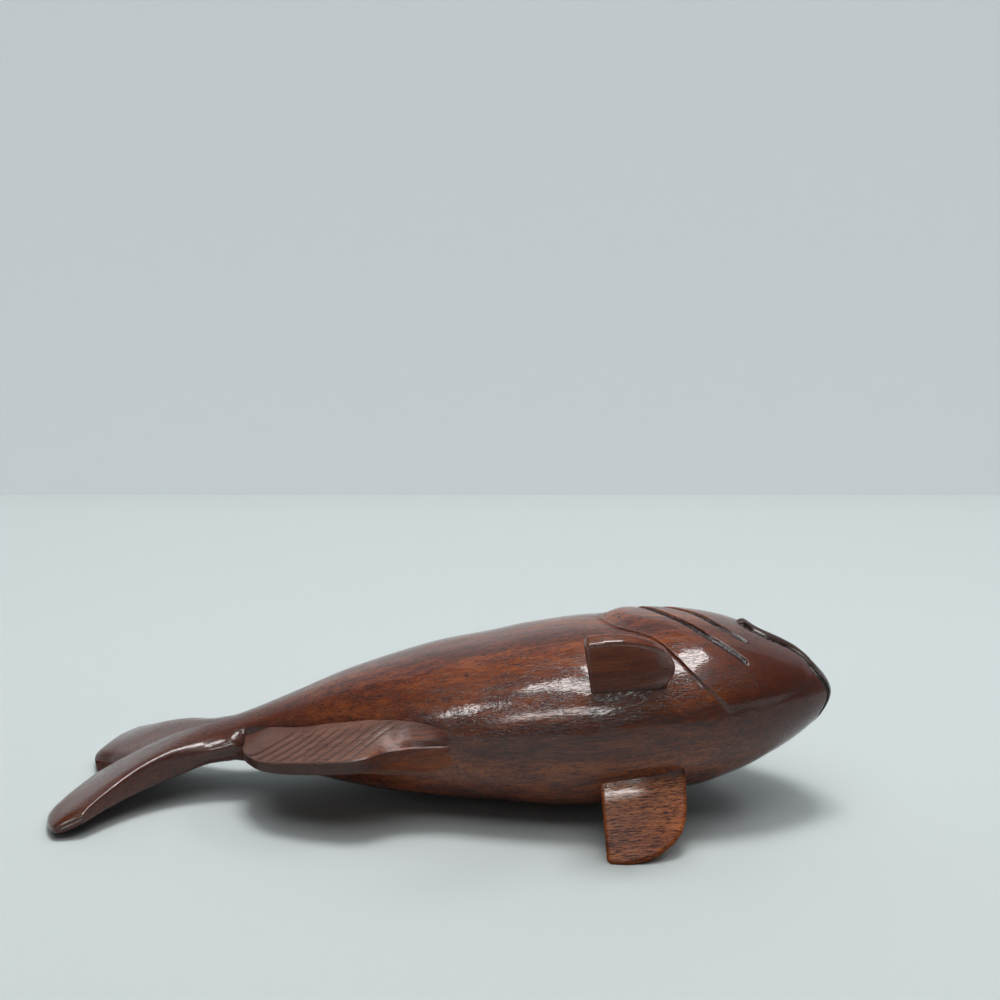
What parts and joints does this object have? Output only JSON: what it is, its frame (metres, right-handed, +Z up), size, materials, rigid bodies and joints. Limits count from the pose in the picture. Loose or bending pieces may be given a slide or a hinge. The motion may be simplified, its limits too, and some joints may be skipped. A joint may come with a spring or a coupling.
{
  "type": "piranha figurine",
  "caption": "Carved wooden piranha figurine lying on its side, with a forked tail, dorsal and anal fins, paired pectoral fins, raised gill covers and a closed mouth.",
  "frame": {"origin": "middle of the figurine's outline seen from above, at the level it lies on", "axes": "+X toward the head, +Y toward the fish's back, +Z up; the fish lies on its left flank with its belly toward -Y"},
  "size_m": [0.2336, 0.0922, 0.0678],
  "materials": {
    "mahogany": "carved reddish-brown hardwood under a clear gloss lacquer",
    "mahogany_fin": "the same wood, a little paler and with a thinner lacquer",
    "birch_dowel": "plain unfinished dowel",
    "black_bead": "polished black bead"
  },
  "bodies": {
    "root": {"body": "mahogany", "dorsal_fin": "mahogany", "anal_fin": "mahogany_fin", "pectoral_fin_left": "mahogany", "pectoral_fin_right": "mahogany", "eye_left": "black_bead", "eye_right": "black_bead", "pectoral_dowel_left_1": "birch_dowel", "pectoral_dowel_left_2": "birch_dowel", "pectoral_dowel_right_1": "birch_dowel", "pectoral_dowel_right_2": "birch_dowel", "anal_dowel_1": "birch_dowel", "anal_dowel_2": "birch_dowel"}
  },
  "joints": []
}
